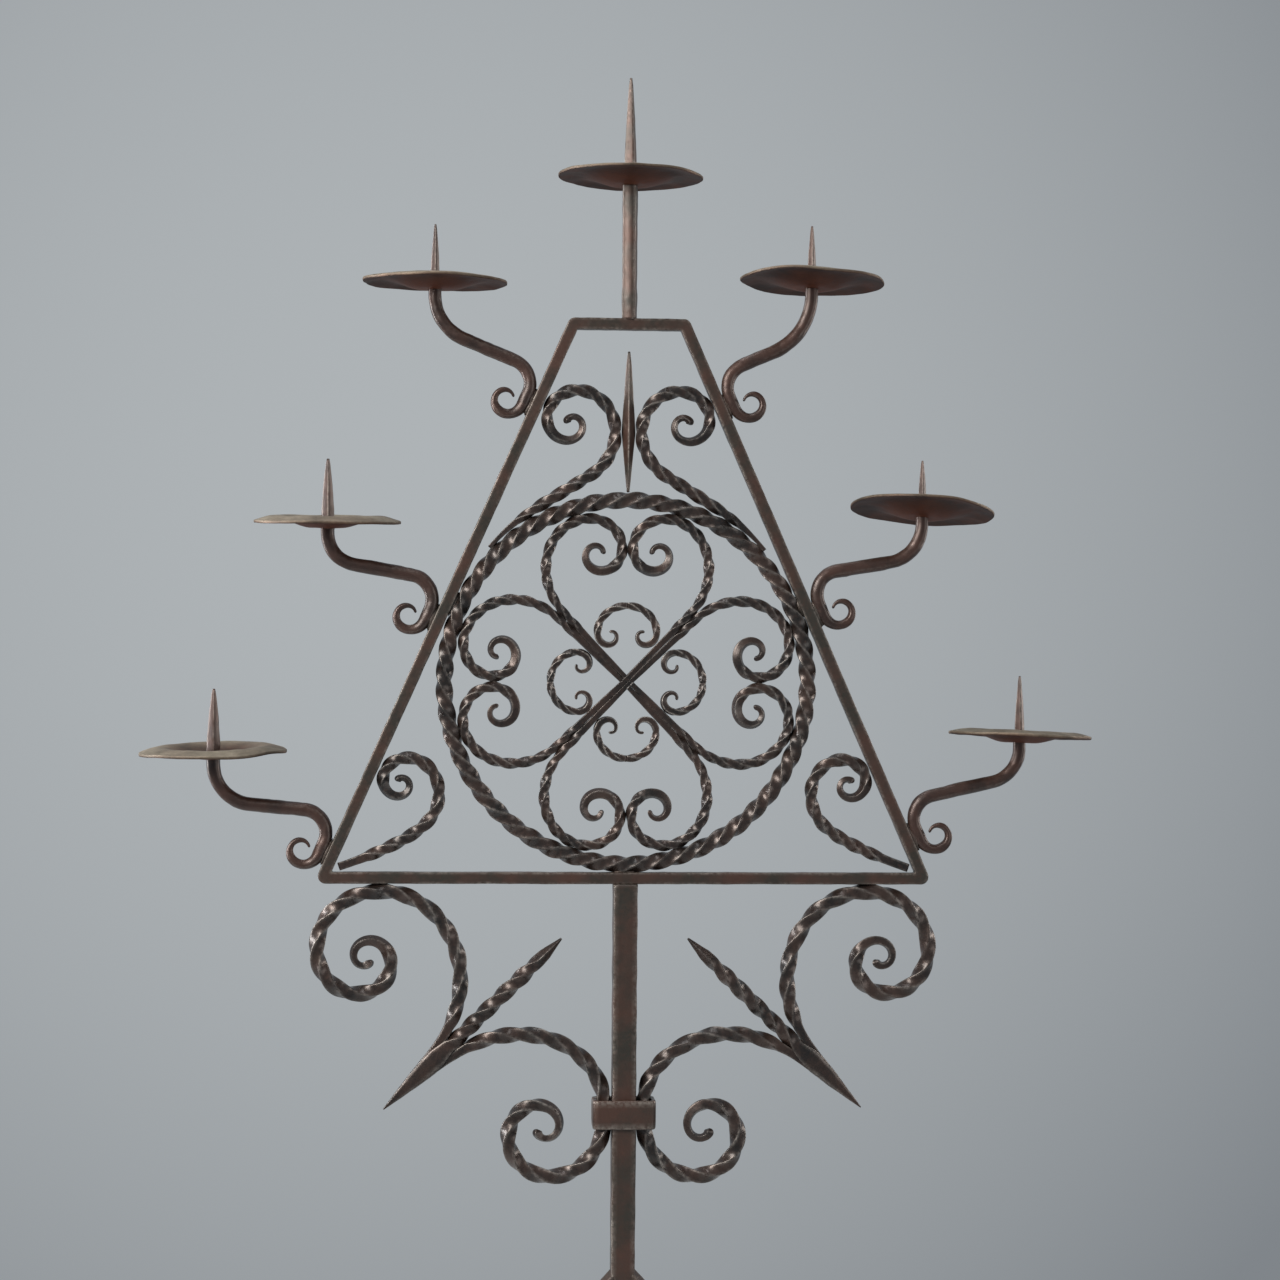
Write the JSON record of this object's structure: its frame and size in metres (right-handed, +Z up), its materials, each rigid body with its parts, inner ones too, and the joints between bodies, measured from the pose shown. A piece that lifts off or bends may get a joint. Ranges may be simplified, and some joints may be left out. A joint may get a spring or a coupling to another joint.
{
  "type": "pricket candle stand",
  "caption": "Forged iron pricket candle stand with drip pans and spikes on curled arms round a frame of twisted scrolls and a ring of hearts, on a square stem and tripod.",
  "frame": {"origin": "on the floor under the stem's axis", "axes": "+Z up along the stem, +X to the right of a viewer who faces the stand, +Y to its back"},
  "size_m": [0.6356, 0.4014, 1.1243],
  "materials": {
    "bar_iron": "hammered square bar, waxed dark brown scale",
    "twisted_iron": "twisted bar, dark scale worn to grey on the edges",
    "round_iron": "forged round bar, dark brown scale",
    "sheet_iron": "hammered sheet, reddish brown, rubbed grey on the brim"
  },
  "bodies": {
    "root": {"arm_lower_left": "round_iron", "arm_lower_right": "round_iron", "arm_middle_left": "round_iron", "arm_middle_right": "round_iron", "arm_upper_left": "round_iron", "arm_upper_right": "round_iron", "big_scroll_left": "twisted_iron", "big_scroll_right": "twisted_iron", "collar": "bar_iron", "corner_scroll_left": "twisted_iron", "corner_scroll_right": "twisted_iron", "dart_left": "twisted_iron", "dart_right": "twisted_iron", "frame_bar": "bar_iron", "heart_bottom_first": "twisted_iron", "heart_bottom_second": "twisted_iron", "heart_left_first": "twisted_iron", "heart_left_second": "twisted_iron", "heart_right_first": "twisted_iron", "heart_right_second": "twisted_iron", "heart_top_first": "twisted_iron", "heart_top_second": "twisted_iron", "leg_back": "bar_iron", "leg_front_left": "bar_iron", "leg_front_right": "bar_iron", "lower_scroll_left": "twisted_iron", "lower_scroll_right": "twisted_iron", "pan_lower_left": "sheet_iron", "pan_lower_right": "sheet_iron", "pan_middle_left": "sheet_iron", "pan_middle_right": "sheet_iron", "pan_top": "sheet_iron", "pan_upper_left": "sheet_iron", "pan_upper_right": "sheet_iron", "ring": "twisted_iron", "small_scroll_bottom": "twisted_iron", "small_scroll_left": "twisted_iron", "small_scroll_right": "twisted_iron", "small_scroll_top": "twisted_iron", "spindle": "bar_iron", "stem": "bar_iron", "top_rod": "bar_iron", "upper_scroll_left": "twisted_iron", "upper_scroll_right": "twisted_iron"}
  },
  "joints": []
}
